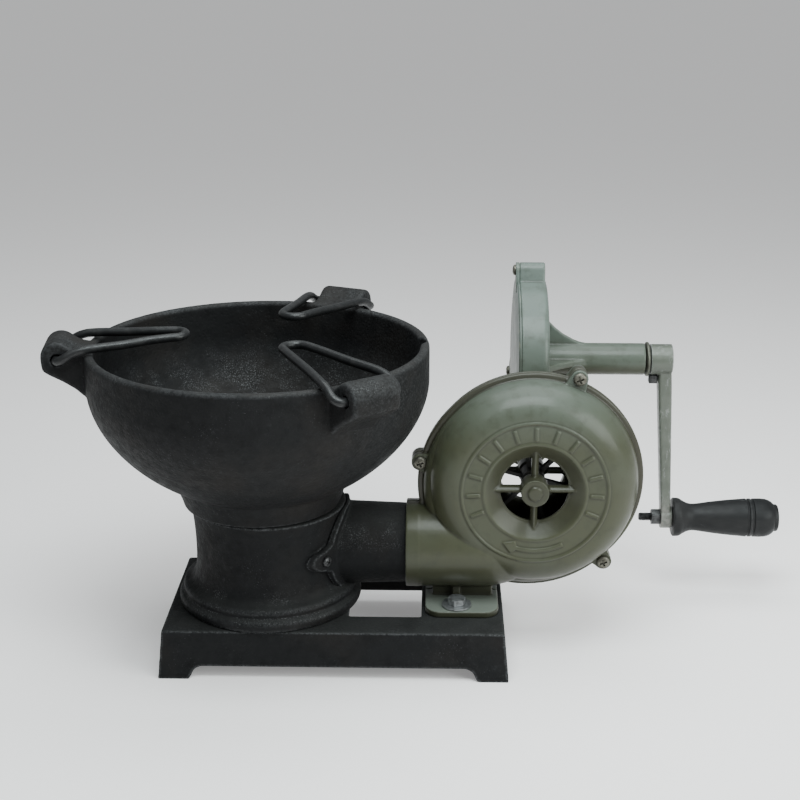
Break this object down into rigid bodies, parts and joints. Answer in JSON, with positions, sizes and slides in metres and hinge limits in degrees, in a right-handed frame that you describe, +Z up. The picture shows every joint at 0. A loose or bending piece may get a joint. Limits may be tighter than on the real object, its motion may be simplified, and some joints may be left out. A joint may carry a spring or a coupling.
{
  "type": "hand-cranked forge",
  "caption": "Solid-fuel blacksmith forge: cast fire bowl on a pedestal and base frame, blown by a green crank-driven centrifugal blower with a worm drive.",
  "frame": {"origin": "bottom centre of the bounding box, on the floor", "axes": "+Z up, +X from the fire bowl towards the crank handle, +Y from the blower inlet towards the gear case"},
  "size_m": [0.8022, 0.419, 0.3956],
  "materials": {
    "black_iron": "satin black paint over rough casting",
    "bowl_iron": "satin black, worn grey on the rim",
    "support_wire": "blackened steel rod",
    "green_enamel": "semi-gloss olive enamel",
    "screw_zinc": "dull zinc",
    "bolt_zinc": "zinc plate",
    "crank_steel": "grey cast steel",
    "black_screw": "black oxide",
    "bronze": "oiled bronze",
    "shaft_steel": "oiled steel",
    "fan_paint": "dark matt",
    "grip_black": "black moulded grip"
  },
  "bodies": {
    "forge": {"base_frame": "black_iron", "pedestal": "black_iron", "base_bolt_1": "black_screw", "base_bolt_2": "black_screw", "base_bolt_3": "black_screw", "base_bolt_4": "black_screw", "fire_bowl": "bowl_iron", "fire_grate": "bowl_iron", "air_pipe": "black_iron", "pipe_screw_front": "black_screw", "pipe_screw_back": "black_screw", "casing_front": "green_enamel", "casing_rear": "green_enamel", "casing_screw_1": "screw_zinc", "casing_screw_2": "screw_zinc", "casing_screw_3": "screw_zinc", "foot_bolt_front": "bolt_zinc", "foot_washer_front": "bolt_zinc", "foot_nut_front": "bolt_zinc", "foot_bolt_back": "bolt_zinc", "foot_washer_back": "bolt_zinc", "foot_nut_back": "bolt_zinc", "fan_bush_front": "bronze", "fan_bush_rear": "bronze", "worm_bush_front": "bronze", "worm_bush_rear": "bronze", "worm_cap": "green_enamel", "gear_case": "green_enamel", "gear_cover": "green_enamel", "cover_screw_1": "screw_zinc", "cover_screw_2": "screw_zinc", "cover_screw_3": "screw_zinc", "case_screw_1": "screw_zinc", "case_screw_2": "screw_zinc", "case_screw_3": "screw_zinc", "case_screw_4": "screw_zinc", "crank_bush_inner": "bronze", "crank_bush_outer": "bronze"},
    "crank": {"worm_wheel": "bronze", "wheel_nut": "black_screw", "crank_shaft": "shaft_steel", "collar_ring": "bolt_zinc", "crank_arm": "crank_steel", "set_screw": "black_screw", "handle_bolt": "bolt_zinc", "handle_nut": "bolt_zinc"},
    "fan": {"fan_shaft": "shaft_steel", "fan_impeller": "fan_paint", "drive_worm": "shaft_steel"},
    "grip": {"handle_grip": "grip_black"},
    "support_left": {"pot_support_left": "support_wire"},
    "support_front": {"pot_support_front": "support_wire"},
    "support_back": {"pot_support_back": "support_wire"}
  },
  "joints": [
    {"name": "crank_spin", "type": "hinge", "parent": "forge", "child": "crank", "pos_m": [0.18014, 0.10911, 0.286], "axis": [1, 0, 0], "continuous": true},
    {"name": "fan_spin", "type": "hinge", "parent": "forge", "child": "fan", "pos_m": [0.10814, 0.04211, 0.192], "axis": [0, 1, 0], "continuous": true},
    {"name": "grip_spin", "type": "hinge", "parent": "crank", "child": "grip", "pos_m": [0.34014, 0.10911, 0.095], "axis": [1, 0, 0], "continuous": true},
    {"name": "support_left_flip", "type": "hinge", "parent": "forge", "child": "support_left", "pos_m": [-0.38135, -0.04263, 0.333], "axis": [0.1219, -0.9925, 0], "range_deg": [0, 260]},
    {"name": "support_front_flip", "type": "hinge", "parent": "forge", "child": "support_front", "pos_m": [-0.05769, -0.18001, 0.333], "axis": [0.7986, 0.6018, 0], "range_deg": [0, 260]},
    {"name": "support_back_flip", "type": "hinge", "parent": "forge", "child": "support_back", "pos_m": [-0.10054, 0.16898, 0.333], "axis": [-0.9205, 0.3907, 0], "range_deg": [0, 260]}
  ],
  "couplings": [
    {"joint": "fan_spin", "follows": "crank_spin", "ratio": -12}
  ]
}
